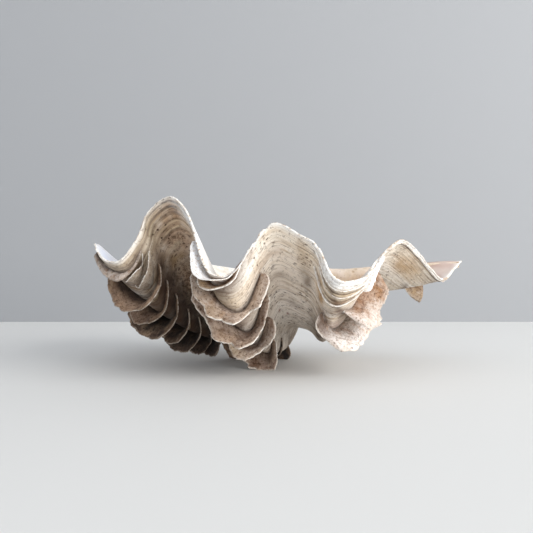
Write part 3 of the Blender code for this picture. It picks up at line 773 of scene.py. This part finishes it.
# %% Build the scales of one rib
def build_scales(name, scales, seed, materials, columns=120, rows=16, wall=SCALE_WALL):
    """One mesh with all scales of a rib, each with a wall that thins out to its edge."""
    bm = bmesh.new()
    keys = ("root", "u_mm", "v_mm", "tint", "deep", *PAINT)
    layers = [bm.verts.layers.float.new(key) for key in keys]
    for number, (scale, warm, outline, *strokes) in enumerate(scales):
        form = scale_places(scale, outline, columns, rows, seed + 7 * number)
        places, along, from_edge, side, reach, share = form
        colour, cover = brushed(side, reach, strokes, blotches(places, 5, 33))
        colour = np.concatenate([colour, cover[..., None]], -1)
        one, order = grid(places)
        broken_off = [vert for vert, (_, column) in zip(one.verts, order) if share[column] == 0]
        order = [(row, column) for row, column in order if share[column] > 0]
        bmesh.ops.delete(one, geom=broken_off, context="VERTS")
        mesh = as_mesh(one, "one_scale")
        before = len(bm.verts)
        bm.from_mesh(mesh)
        bpy.data.meshes.remove(mesh)
        bm.verts.ensure_lookup_table()
        thick = np.clip(1.4 - scale[1] / 90, 0.7, 1) * (1 - 0.65 * np.linspace(0, 1, rows + 1))[:, None]
        thick = thick * (1 + 0.25 * wave(along * 5, 1, seed + number))
        for vert, (row, column) in zip(bm.verts[before:], order):
            u_mm = (along[row, column] - scale[0]) * POINT_MM + APART_MM * number
            numbers = (min(thick[row, column], 1), u_mm, from_edge[row, column], warm, 1 - reach[row, column])
            for layer, value in zip(layers, (*numbers, *colour[row, column])):
                vert[layer] = value
    sheet = as_mesh(bm, name)
    piece = bpy.data.objects.new(name + "_sheet", sheet)
    bpy.context.scene.collection.objects.link(piece)
    for material in materials:
        sheet.materials.append(material)
    group = piece.vertex_groups.new(name="wall")
    for number, value in enumerate(sheet.attributes["root"].data):
        group.add([number], value.value, "REPLACE")
    solid_wall = piece.modifiers.new("wall", "SOLIDIFY")
    solid_wall.thickness = wall * MM
    solid_wall.offset = 0
    solid_wall.vertex_group = "wall"
    solid_wall.thickness_vertex_group = 0
    solid_wall.material_offset = 1
    solid_wall.material_offset_rim = 2
    bpy.context.view_layer.update()
    solid = bpy.data.meshes.new_from_object(piece.evaluated_get(bpy.context.evaluated_depsgraph_get()))
    solid.name = name
    bpy.data.objects.remove(piece, do_unlink=True)
    for vert in solid.vertices:
        vert.co.z = max(vert.co.z, 0)
    u, v = ([point.value for point in solid.attributes[key].data] for key in ("u_mm", "v_mm"))
    lay_growth_map(solid, u, v)
    return solid


# %% [markdown]
# ## Nodes
# A material is a small graph. One function adds a node, sets it, links it and hands on its output, so each
# line below reads as one step of the recipe.


# %% Node helpers
def add(tree, kind, inputs=None, stops=None, out=0, **settings):
    """Adds one node and gives its output. An input given as a socket is linked, others are typed in."""
    node = tree.nodes.new("ShaderNode" + kind)
    for name, value in settings.items():
        setattr(node, name, value)
    for place, value in (inputs or {}).items():
        if isinstance(value, bpy.types.NodeSocket):
            tree.links.new(value, node.inputs[place])
        else:
            node.inputs[place].default_value = value
    if stops:
        elements = node.color_ramp.elements
        while len(elements) > len(stops):
            elements.remove(elements[-1])
        while len(elements) < len(stops):
            elements.new(0.5)
        for element, (place, code) in zip(elements, stops):
            element.position = place
            element.color = hue(code)
    return node.outputs[out]


def new_material(name, roughness, ior=1.5):
    """A material with one Principled shader, and its node tree."""
    material = bpy.data.materials.new(name)
    material.use_nodes = True
    tree = material.node_tree
    shader = tree.nodes["Principled BSDF"]
    shader.inputs["Roughness"].default_value = roughness
    shader.inputs["IOR"].default_value = ior
    return material, tree, shader


# %% [markdown]
# ## Steps that come back
# Some groups of nodes come back in several finishes. Noise on the growth map is drawn out into lines. A
# glaze multiplies a ramp of colours in, which darkens as a thin film of dirt does, and a coat covers what
# lies under it. The height for the bump is a pile of the same noises, so colour and relief agree.

# %% Groups of nodes
WHITE = "FFFFFF"
# A Mix node has inputs of one name for numbers and for colours, so the colour ones are known by place.
FACTOR, FIRST, SECOND = 0, 6, 7
COLOURS = {"data_type": "RGBA", "out": 2}


def drawn_out(tree, growth, along, away, detail, roughness, distortion):
    """Noise on the growth map, scaled on its own along the rim and away from it."""
    vector = add(tree, "Mapping", {"Vector": growth, "Scale": (along, away, 1)})
    inputs = {"Scale": 1, "Detail": detail, "Roughness": roughness, "Distortion": distortion}
    return add(tree, "TexNoise", {"Vector": vector, **inputs})


def glazed(tree, share, colour, value, *stops):
    """Multiplies a colour by a ramp."""
    film = add(tree, "ValToRGB", {"Fac": value}, stops)
    return add(tree, "Mix", {FACTOR: share, FIRST: colour, SECOND: film}, blend_type="MULTIPLY", **COLOURS)


def coated(tree, colour, coat, mask, share):
    """Lays a coat over a colour where the mask is, as strongly as its share says."""
    cover = add(tree, "Math", {0: mask, 1: share}, operation="MULTIPLY")
    return add(tree, "Mix", {FACTOR: cover, FIRST: colour, SECOND: coat}, **COLOURS)


def turning(tree, value, start, end, most, first, second):
    """The first colour, which turns into the second as a value goes from start to end."""
    cover = add(tree, "MapRange", {"Value": value, "From Min": start, "From Max": end, "To Max": most})
    return add(tree, "Mix", {FACTOR: cover, FIRST: first, SECOND: second}, **COLOURS)


def hand_painted(tree, ground):
    """The brush strokes laid over a ground colour."""
    red, green, blue, cover = (add(tree, "Attribute", out="Fac", attribute_name=name) for name in PAINT)
    strokes = add(tree, "CombineColor", {"Red": red, "Green": green, "Blue": blue})
    return add(tree, "Mix", {FACTOR: cover, FIRST: ground, SECOND: strokes}, **COLOURS)


def piled(tree, height, *layers):
    """Adds layers to a height, each by its share."""
    for layer, share in layers:
        height = add(tree, "Math", {0: layer, 1: share, 2: height}, operation="MULTIPLY_ADD")
    return height


def surface(tree, shader, colour, height, strength, distance):
    """Gives the shader its colour, and a bump made from the height."""
    bump = add(tree, "Bump", {"Height": height, "Strength": strength, "Distance": distance})
    tree.links.new(colour, shader.inputs["Base Color"])
    tree.links.new(bump, shader.inputs["Normal"])


# %% [markdown]
# ## Outer layer: weathered aragonite
# The outside is crossed fibres of aragonite that sun and sand have bleached to chalk. It scatters light and
# hardly shines. The eye sees fine lines along the growth, tan and grey bands, dirt and painted shade in every
# step and along each scale root, and the dark holes of boring worms, each about a millimetre wide.


# %% Material of the outer layer
def chalky_outer_layer():
    material, tree, shader = new_material("weathered_aragonite", 0.85)
    place = add(tree, "TexCoord", out="Object")
    growth = add(tree, "UVMap", uv_map="growth")
    masks = ("crease_dirt_and_shade", "crust", "bored")
    crease_dirt_and_shade, crusty, bored = (add(tree, "Attribute", out="Fac", attribute_name=mask) for mask in masks)
    # Streaks are 20 mm long and 1 mm wide, bands 80 mm and 6 mm, borings 1 mm, grains under 1 mm.
    streaks = drawn_out(tree, growth, 45, 950, 4, 0.65, 0.7)
    bands = drawn_out(tree, growth, 12, 160, 5, 0.6, 0.9)
    patches = add(tree, "TexNoise", {"Vector": place, "Scale": 45, "Detail": 5, "Roughness": 0.65})
    grain = add(tree, "TexNoise", {"Vector": place, "Scale": 380, "Detail": 5, "Roughness": 0.8})
    dashed = add(tree, "Mapping", {"Vector": growth, "Scale": (170, 420, 1)})
    dots = add(tree, "TexVoronoi", {"Vector": place, "Scale": 150, "Randomness": 1})
    dashes = add(tree, "TexVoronoi", {"Vector": dashed, "Scale": 1, "Randomness": 1})

    ground = (0.30, "C4AC90"), (0.45, "E3D6C4"), (0.60, "F2EBE1"), (0.75, "D5C3AB")
    colour = hand_painted(tree, add(tree, "ValToRGB", {"Fac": bands}, ground))
    tones = (0.30, "CDBCA8"), (0.48, WHITE), (0.62, WHITE), (0.74, "DCCBB4")
    colour = glazed(tree, 0.5, colour, bands, *tones)
    colour = glazed(tree, 0.5, colour, patches, (0.32, "A9957F"), (0.47, WHITE))
    colour = glazed(tree, 0.6, colour, streaks, (0.35, "745A43"), (0.45, WHITE))
    colour = glazed(tree, 0.7, colour, grain, (0.34, "73583F"), (0.46, WHITE))
    limy = (0.36, "3E2C20"), (0.48, "8A6D54"), (0.62, "C3AB8E")
    colour = coated(tree, colour, add(tree, "ValToRGB", {"Fac": grain}, limy), crusty, 0.7)

    # Worm holes are round dots or dashes along the growth, and leave some patches free.
    near_dot = add(tree, "MapRange", {"Value": dots, "From Min": 0.15, "From Max": 0.08})
    near_dash = add(tree, "MapRange", {"Value": dashes, "From Min": 0.27, "From Max": 0.16, "To Max": 0.9})
    opening = add(tree, "Math", {0: near_dot, 1: near_dash}, operation="MAXIMUM")
    some = add(tree, "MapRange", {"Value": patches, "From Min": 0.56, "From Max": 0.45})
    opening = add(tree, "Math", {0: opening, 1: some}, operation="MULTIPLY")
    hole = add(tree, "Math", {0: opening, 1: bored}, operation="MULTIPLY")
    colour = add(tree, "Mix", {FACTOR: hole, FIRST: colour, SECOND: hue("4A2F20")}, **COLOURS)
    # Dark brown in the creases and at the scale roots: dirt and painted shade.
    colour = coated(tree, colour, hue("523A29"), crease_dirt_and_shade, 0.85)

    height = piled(tree, 0, (streaks, 0.8), (grain, 0.4), (patches, 1.2), (hole, -1.4))
    surface(tree, shader, colour, height, 0.9, 0.0007)
    return material


# %% [markdown]
# ## Inner layer: porcelain-like aragonite
# The inside is dense, fine aragonite laid down in thin coats. It is smooth, a little glossy like unglazed
# porcelain, and white with a warm cast where it is old. Faint bands follow the rim.


# %% Material of the inner layer
def porcelain_inner_layer():
    material, tree, shader = new_material("porcelain_aragonite", 0.42, 1.55)
    place = add(tree, "TexCoord", out="Object")
    growth = add(tree, "UVMap", uv_map="growth")
    from_rim = add(tree, "SeparateXYZ", {"Vector": growth}, out="Y")
    bands = drawn_out(tree, growth, 6, 70, 4, 0.5, 0.5)
    stains = add(tree, "TexNoise", {"Vector": place, "Scale": 24, "Detail": 4, "Roughness": 0.6})
    fine = add(tree, "TexNoise", {"Vector": place, "Scale": 260, "Detail": 3})
    fresh = add(tree, "ValToRGB", {"Fac": bands}, [(0.35, "E9E2D8"), (0.55, "F6F3EE")])
    warm = add(tree, "ValToRGB", {"Fac": bands}, [(0.35, "DCCBB8"), (0.6, "EFE4D6")])
    # The coat is fresh for 4 mm from the rim, and old from 60 mm on.
    colour = turning(tree, from_rim, 0.004, 0.06, 1, fresh, warm)
    colour = turning(tree, stains, 0.56, 0.72, 0.5, colour, hue("C9AE90"))
    surface(tree, shader, hand_painted(tree, colour), piled(tree, fine, (bands, 2.0)), 0.5, 0.0004)
    return material


# %% [markdown]
# ## The broken rim
# The rim shows the wall in section: the newest, whitest shell, with a grain like broken sugar. Stains about
# a centimetre wide dull it here and there. Scales in the shade get a darker edge of the same kind, worn and
# with painted shade.

# %% Material of the rim and of every broken edge
EDGE_STAINS = {"Scale": 75, "Detail": 3, "Roughness": 0.6}


def broken_edge(name, dark, middle, pale):
    material, tree, shader = new_material(name, 0.75)
    place = add(tree, "TexCoord", out="Object")
    grain = add(tree, "TexNoise", {"Vector": place, "Scale": 420, "Detail": 4, "Roughness": 0.7})
    stains = add(tree, "TexNoise", {"Vector": place, **EDGE_STAINS})
    colour = add(tree, "ValToRGB", {"Fac": grain}, [(0.36, dark), (0.45, middle), (0.56, pale)])
    colour = turning(tree, stains, 0.54, 0.68, 0.8, colour, hue(dark))
    surface(tree, shader, colour, grain, 0.8, 0.0005)
    return material


# %% [markdown]
# ## Scales: two faces of a leaf
# The hollow face of a scale was never cleaned by the clam, so it is rough and holds brown dirt in its
# grain. It is darkest at its root, with mud and painted shade. Growth lines follow its edge and fine rays run
# out to it. The back is paler, like the wall. A pale line a millimetre wide along the edge shows where it
# last broke.


# %% Material of a scale's faces
def scale_face(name, dirt, clean, edge_colour, grit, root_mud_and_shade, mud_and_shade_colour="46301F", strokes=True):
    """The rough face of a scale, from dirty to clean. The number after the grit says how much mud and painted
    shade darken its root.
    """
    material, tree, shader = new_material(name, 0.9)
    place = add(tree, "TexCoord", out="Object")
    growth = add(tree, "UVMap", uv_map="growth")
    tint, deep = (add(tree, "Attribute", out="Fac", attribute_name=mask) for mask in ("tint", "deep"))
    # Rings lie 1.5 mm apart, rays 2 mm apart, and the grain is like coarse sand.
    ring = drawn_out(tree, growth, 30, 420, 4, 0.6, 1.5)
    ray = drawn_out(tree, growth, 420, 50, 3, 0.6, 1.2)
    grain = add(tree, "TexNoise", {"Vector": place, "Scale": 520, "Detail": 5, "Roughness": 0.75})
    patches = add(tree, "TexNoise", {"Vector": place, "Scale": 110, "Detail": 5, "Roughness": 0.65})
    dirty = add(tree, "ValToRGB", {"Fac": patches}, list(zip((0.34, 0.48, 0.64), dirt)))
    bleached = add(tree, "ValToRGB", {"Fac": patches}, list(zip((0.33, 0.42, 0.5), clean)))
    colour = add(tree, "Mix", {FACTOR: tint, FIRST: dirty, SECOND: bleached}, **COLOURS)
    # Mud and painted shade darken the root, more the deeper a point lies.
    mud_and_shade = add(tree, "Math", {0: deep, 1: 1.7}, operation="POWER")
    mud_and_shade = add(tree, "Math", {0: mud_and_shade, 1: root_mud_and_shade}, operation="MULTIPLY")
    unwashed = add(tree, "Math", {0: tint, 1: -0.7, 2: 1.0}, operation="MULTIPLY_ADD")
    colour = coated(tree, colour, hue(mud_and_shade_colour), mud_and_shade, unwashed)
    if strokes:
        colour = hand_painted(tree, colour)
    colour = glazed(tree, 0.55, colour, ring, (0.34, "A0866F"), (0.46, WHITE))
    colour = glazed(tree, 0.35, colour, ray, (0.32, "AF9078"), (0.42, WHITE))
    colour = glazed(tree, 0.85, colour, grain, (0.36, grit), (0.46, "F0E8DE"), (0.56, WHITE))
    from_edge = add(tree, "SeparateXYZ", {"Vector": growth}, out="Y")
    ragged = piled(tree, from_edge, (patches, 0.005))
    edge = add(tree, "MapRange", {"Value": ragged, "From Min": 0.0035, "From Max": 0.0026, "To Max": 0.85})
    stains = add(tree, "TexNoise", {"Vector": place, **EDGE_STAINS})
    unstained = add(tree, "MapRange", {"Value": stains, "From Min": 0.66, "From Max": 0.53, "To Min": 0.2})
    colour = coated(tree, colour, hue(edge_colour), edge, unstained)
    height = piled(tree, grain, (ring, 0.8), (ray, 0.4), (patches, 1.5))
    surface(tree, shader, colour, height, 1.0, 0.0009)
    return material


# %% [markdown]
# ## The wall gets its three materials
# Outer face, inner face and rim are one mesh, and each polygon already knows which of the three it belongs
# to. The dull edge, worn and darkened with painted shade, is made here too, for the scales that lie in shade.

# %% Show the wall
outer_layer = chalky_outer_layer()
inner_layer = porcelain_inner_layer()
edge_layer = broken_edge("fresh_broken_aragonite", "A58A70", "E3DACD", "F6F2EC")
# The worn edge is darker: wear and painted shade.
worn_shaded_edge = broken_edge("worn_shaded_broken_aragonite", "6A5646", "9C8B7B", "C6BAAC")
show("shell_wall", wall_mesh, outer_layer, inner_layer, edge_layer)

# %% [markdown]
# ## The scales get their dirt and shade
# A scale that lies under others keeps its mud, and rain and fingers wash the open ones. So the left rib, the
# old scales in the middle and those on the left end get a nearly black root and a dull edge, mud and painted
# shade together, and the others a brown root and a fresh edge. The backs are alike, bleached like the wall.

# %% Show the scales
CLEAN = ("B08563", "E6CCB8", "F8F0EA")
# On these ribs the dirt, the nearly black root and the dull edge are partly painted shade.
SHADED_AND_DIRTY = ("left_rib_scales", "old_middle_rib_scales", "end_rib_scales")
dirt_and_shade = ("4A382B", "826753", "B2977C")
open_dirt = ("5C4638", "8E7462", "BCA48D")
back_dirt = ("8C7259", "BFA88A", "E0D1BA")
dirty_shaded_hollow = scale_face(
    "dirty_shaded_scale_hollow", dirt_and_shade, CLEAN, "9C8B7B", "5A4434", root_mud_and_shade=1.0, mud_and_shade_colour="180F09"
)
open_hollow = scale_face("open_scale_hollow", open_dirt, CLEAN, "E4D9CC", "644C3B", root_mud_and_shade=0.9)
scale_back = scale_face(
    "bleached_scale_back", back_dirt, CLEAN, "E6DCCF", "6E5644", root_mud_and_shade=0.5, strokes=False
)
for number, (name, scales) in enumerate(RIBS.items()):
    in_shade = name in SHADED_AND_DIRTY
    faces = (dirty_shaded_hollow, scale_back, worn_shaded_edge) if in_shade else (open_hollow, scale_back, edge_layer)
    # Seeds lie far apart, so no two scales fray alike.
    show(name, build_scales(name, scales, 100 + 80 * number, faces))

# %% [markdown]
# ## Young lamellae
# Close to the rim the newest sheets haven't grown into scales yet. They are thin, white and clean, and each
# one overhangs the next. They are made as scales are, with a thin wall and a low flare.

# %% Show the lamellae
lamella_dirt = ("A98E72", "CDB79B", "E6DAC8")
lamella_clean = ("E4DCD2", "F7F5F2", WHITE)
clean_sheet = scale_face("clean_young_lamella", lamella_dirt, lamella_clean, "FBF9F6", "BFAE9C", 0.35)
LAMELLAE = (
    ((14.03, 1.21, 1.58, 16, 44, -0.21, 1.28), 1,
     (0, 0.2, 0.3, 0.3, 0.3, 0.5, 0.92, 0.87, 0.89, 0.98, 0.94, 0.88, 0.86),
     ("A07F62", -0.3, 0.4, 0.6, 0.3, 0.85), ("F3F5FA", 0.75, 0.5, 0.45, 0.9, 0.95)),
    ((19.71, 5.33, 0.59, 16, 49, -0.2, 1.39), 0.3,
     (0, 0, 0.05, 0.12, 0.3, 0.6, 0.95, 1.1, 1.1, 1, 0.8, 0.5, 0.1)),
    ((19.58, 8.38, 0.64, 16, 40, -0.22, 1.14), 0.3,
     (0.3, 0.48, 0.99, 1.3, 1.28, 1.25, 1.19, 1.18, 1.1, 0.85, 0.55, 0.3, 0.05)),
    ((5.34, 2.75, 0.56, 5.6, 72, 0.4, 4), 1, EVEN),
    ((7.1, 2.7, 1.9, 2.6, 45, 0, 0), 0.9, EVEN),
    ((7.1, 4.9, 1.6, 2.4, 45, 0, 0), 0.7, EVEN),
    ((7.3, 7.6, 1.7, 3.2, 48, 0.2, 0.4), 0.6, EVEN),
    ((1.0, 2.2, 0.9, 2.4, 50, 0, 0), 0.5, EVEN),
    ((22.3, 3.4, 1.1, 3.0, 50, 0, 0), 0.1, EVEN),
    ((3.0, 1.5, 1.5, 1.4, 40, 0, 0), 0.8, EVEN),
)
lamella_faces = (clean_sheet, clean_sheet, edge_layer)
lamellae = build_scales("young_lamellae", LAMELLAE, 700, lamella_faces, columns=96, wall=1.2)
show("young_lamellae", lamellae)

# %% [markdown]
# ## The hinge
# The straight back edge is a thick plate that the other half turned on. It is a bar that thins out to both
# ends, with a groove behind for the ligament, a springy brown band that is now dry, and two long teeth in
# front that locked the halves. The bar is a sheet of rings, wrapped round and welded.

# %% The hinge plate
PLATE_RADIUS, PLATE_ENDS, PLATE_AHEAD, PLATE_DROP, PLATE_LIFT = 7.5, 2.5, 0.7, 0.9, 8
LIGAMENT_FROM = 0.45
TOOTH_AHEAD, TOOTH_DROP, TOOTH_HALF_WIDTH, TOOTH_HALF_HEIGHT = 6, 2, 2.6, 4
# Where each tooth lies along the hinge, and how long it is.
TEETH = ((16, 15), (-22, 30))
back_turns = np.array([1, 6, 12, 20, 28, 36, 45, 54, 62, 70, 80], float)
right_edge = outside(np.zeros(len(back_turns)), back_turns)
left_edge = outside(np.full(len(back_turns), float(LAST)), back_turns)[::-1]
spine = np.vstack([right_edge, BEAK[None], left_edge])
fine = np.linspace(0, len(spine) - 1, 150)
spine = np.stack([np.interp(fine, np.arange(len(spine)), spine[:, axis]) for axis in range(3)], 1)
nearness = 1 - np.clip(np.linalg.norm(spine - BEAK, axis=1) / np.linalg.norm(right_edge[0] - BEAK), 0, 1)
radius = (PLATE_ENDS + (PLATE_RADIUS - PLATE_ENDS) * nearness)[:, None]
spine = spine + radius * (PLATE_AHEAD * FRONT - PLATE_DROP * UP) + PLATE_LIFT * nearness[:, None] * UP
around = np.linspace(0, 360, 49)[None, :]
groove = np.exp(-(((around - 160) / 16) ** 2)) * np.clip(nearness * 1.6, 0, 1)[:, None]
ring = np.radians(around)[..., None]
spoke = np.cos(ring) * FRONT + np.sin(ring) * UP
plate = spine[:, None, :] + radius[..., None] * spoke
bumps = 0.5 * blotches(plate, 9, 41) + 0.25 * blotches(plate, 3, 42)
dented = radius * (1 - 0.28 * groove) + bumps * nearness[:, None]
plate = spine[:, None, :] + dented[..., None] * spoke
plate[:, -1] = plate[:, 0]


# %% [markdown]
# ## Welding, and the teeth
# Wrapped round, the sheet meets itself, so its borders are merged and its two ends are filled. Each tooth is
# a sphere, stretched along the hinge and made lumpy.


# %% Weld the bar and add the teeth
def build_hinge():
    bm, order = grid(plate)
    for face in bm.faces:
        middle = sum((np.array(order[v.index]) for v in face.verts), np.zeros(2)) / 4
        face.material_index = 1 if groove[int(middle[0]), int(middle[1])] > LIGAMENT_FROM else 0
    bmesh.ops.remove_doubles(bm, verts=list(bm.verts), dist=1e-6)
    bmesh.ops.holes_fill(bm, edges=[edge for edge in bm.edges if edge.is_boundary], sides=0)
    for along_hinge, length in TEETH:
        made = bmesh.ops.create_icosphere(bm, subdivisions=5, radius=1)
        centre = BEAK + along_hinge * HINGE + TOOTH_AHEAD * FRONT + (PLATE_LIFT - TOOTH_DROP) * UP
        for vert in made["verts"]:
            x, y, z = vert.co
            place = centre + x * length / 2 * HINGE
            place = place + y * TOOTH_HALF_WIDTH * FRONT + z * TOOTH_HALF_HEIGHT * UP
            lump = 0.25 * noise.noise(Vector(place) / 2.5)
            vert.co = (place + lump * (y * FRONT + z * UP)) * MM
    bmesh.ops.recalc_face_normals(bm, faces=list(bm.faces))
    return as_mesh(bm, "hinge_plate")


# %% [markdown]
# ## Ligament: dried conchiolin
# The ligament is horn-like protein. Dry, it is dark brown, cracked along its length and a little shiny.


# %% Material of the ligament
def dried_ligament():
    material, tree, shader = new_material("dried_conchiolin", 0.55, 1.45)
    # Fibres half a millimetre wide run along the hinge.
    place = add(tree, "TexCoord", out="Object")
    turned = {"Vector": place, "Rotation": (0, 0, HINGE_YAW), "Scale": (60, 1600, 1600)}
    lengthened = add(tree, "Mapping", turned)
    fibres = add(tree, "TexNoise", {"Vector": lengthened, "Scale": 1, "Detail": 4, "Roughness": 0.6})
    colour = add(tree, "ValToRGB", {"Fac": fibres}, [(0.35, "21150D"), (0.5, "4B3220"), (0.68, "7A5A3C")])
    surface(tree, shader, colour, fibres, 0.8, 0.0006)
    return material


# %% [markdown]
# ## Hinge plate: worn aragonite
# The plate and its teeth are the same dense shell as the inside, but worn rough by the other valve. The left
# half is bleached almost white, and the right half has kept a tan stain.


# %% Material of the hinge plate
def worn_hinge():
    material, tree, shader = new_material("worn_hinge_aragonite", 0.6)
    place = add(tree, "TexCoord", out="Object")
    across = add(tree, "SeparateXYZ", {"Vector": place}, out="X")
    stains = add(tree, "TexNoise", {"Vector": place, "Scale": 90, "Detail": 5, "Roughness": 0.65})
    grain = add(tree, "TexNoise", {"Vector": place, "Scale": 520, "Detail": 4, "Roughness": 0.7})
    left = add(tree, "ValToRGB", {"Fac": stains}, [(0.32, "C9B69C"), (0.48, "F0E8DB"), (0.64, "F8F5F0")])
    right = add(tree, "ValToRGB", {"Fac": stains}, [(0.34, "A48766"), (0.44, "D9C5AE"), (0.64, "E2D1C1")])
    # One half turns into the other over 40 mm.
    colour = turning(tree, across, 0, 0.04, 1, left, right)
    colour = glazed(tree, 0.3, colour, grain, (0.34, "8E745C"), (0.46, WHITE))
    surface(tree, shader, colour, stains, 0.9, 0.001)
    return material


# %% [markdown]
# ## The hinge gets its two materials
# Plate, teeth and ligament are one mesh, because the dried ligament never comes off. The polygons of the
# ligament already carry the second material.

# %% Show the hinge plate
show("hinge_plate", build_hinge(), worn_hinge(), dried_ligament())

# %% [markdown]
# ## Floor, wall and light
# The photo has one large window to the right. An area light of a metre and a half stands in for it, and an
# even sky fills the shade, so that the hollows keep their browns. The floor and the backdrop are plain. The
# backdrop can be seen from the front only, so it doesn't hide the shell in a view from behind.


# %% Set the stage
SHEET_HALF = 4
BACKDROP_Y = 0.37


def plain(name, code, roughness):
    """A material of one colour."""
    material, _, shader = new_material(name, roughness)
    shader.inputs["Base Color"].default_value = hue(code)
    return material


def clear_from_behind(material):
    """Makes the back of a sheet invisible."""
    tree = material.node_tree
    behind = add(tree, "NewGeometry", out="Backfacing")
    clear = add(tree, "BsdfTransparent")
    front = tree.nodes["Principled BSDF"].outputs[0]
    one_sided = add(tree, "MixShader", {0: behind, 1: front, 2: clear})
    tree.links.new(one_sided, tree.nodes["Material Output"].inputs["Surface"])
    return material


def flat_sheet(name, material, placed):
    bm = bmesh.new()
    bmesh.ops.create_grid(bm, x_segments=1, y_segments=1, size=SHEET_HALF)
    bmesh.ops.transform(bm, matrix=placed, verts=list(bm.verts))
    mesh = as_mesh(bm, name)
    mesh.materials.append(material)
    return bpy.data.objects.new(name, mesh)


upright = Matrix.Translation((0, BACKDROP_Y, 0)) @ Matrix.Rotation(math.radians(90), 4, "X")
floor = flat_sheet("floor", plain("pale floor", "D8D7D4", 0.7), Matrix())
backdrop = flat_sheet("backdrop", clear_from_behind(plain("pale grey wall", "9C9D9F", 0.9)), upright)
for thing in (floor, backdrop):
    bpy.context.scene.collection.objects.link(thing)

window = bpy.data.objects.new("window", bpy.data.lights.new("window", "AREA"))
window.data.size = 1.6
window.data.energy = 54
window.data.color = (1.0, 0.99, 0.97)
window.location = (1.7, -1.2, 0.8)
window.rotation_euler = (Vector((0, 0, 0.05)) - window.location).to_track_quat("-Z", "Y").to_euler()
bpy.context.scene.collection.objects.link(window)
sky = bpy.data.worlds.new("even sky")
sky.use_nodes = True
sky.node_tree.nodes["Background"].inputs["Color"].default_value = (0.86, 0.90, 0.96, 1)
sky.node_tree.nodes["Background"].inputs["Strength"].default_value = 1.1
bpy.context.scene.world = sky
bpy.context.scene.view_settings.view_transform = "Standard"
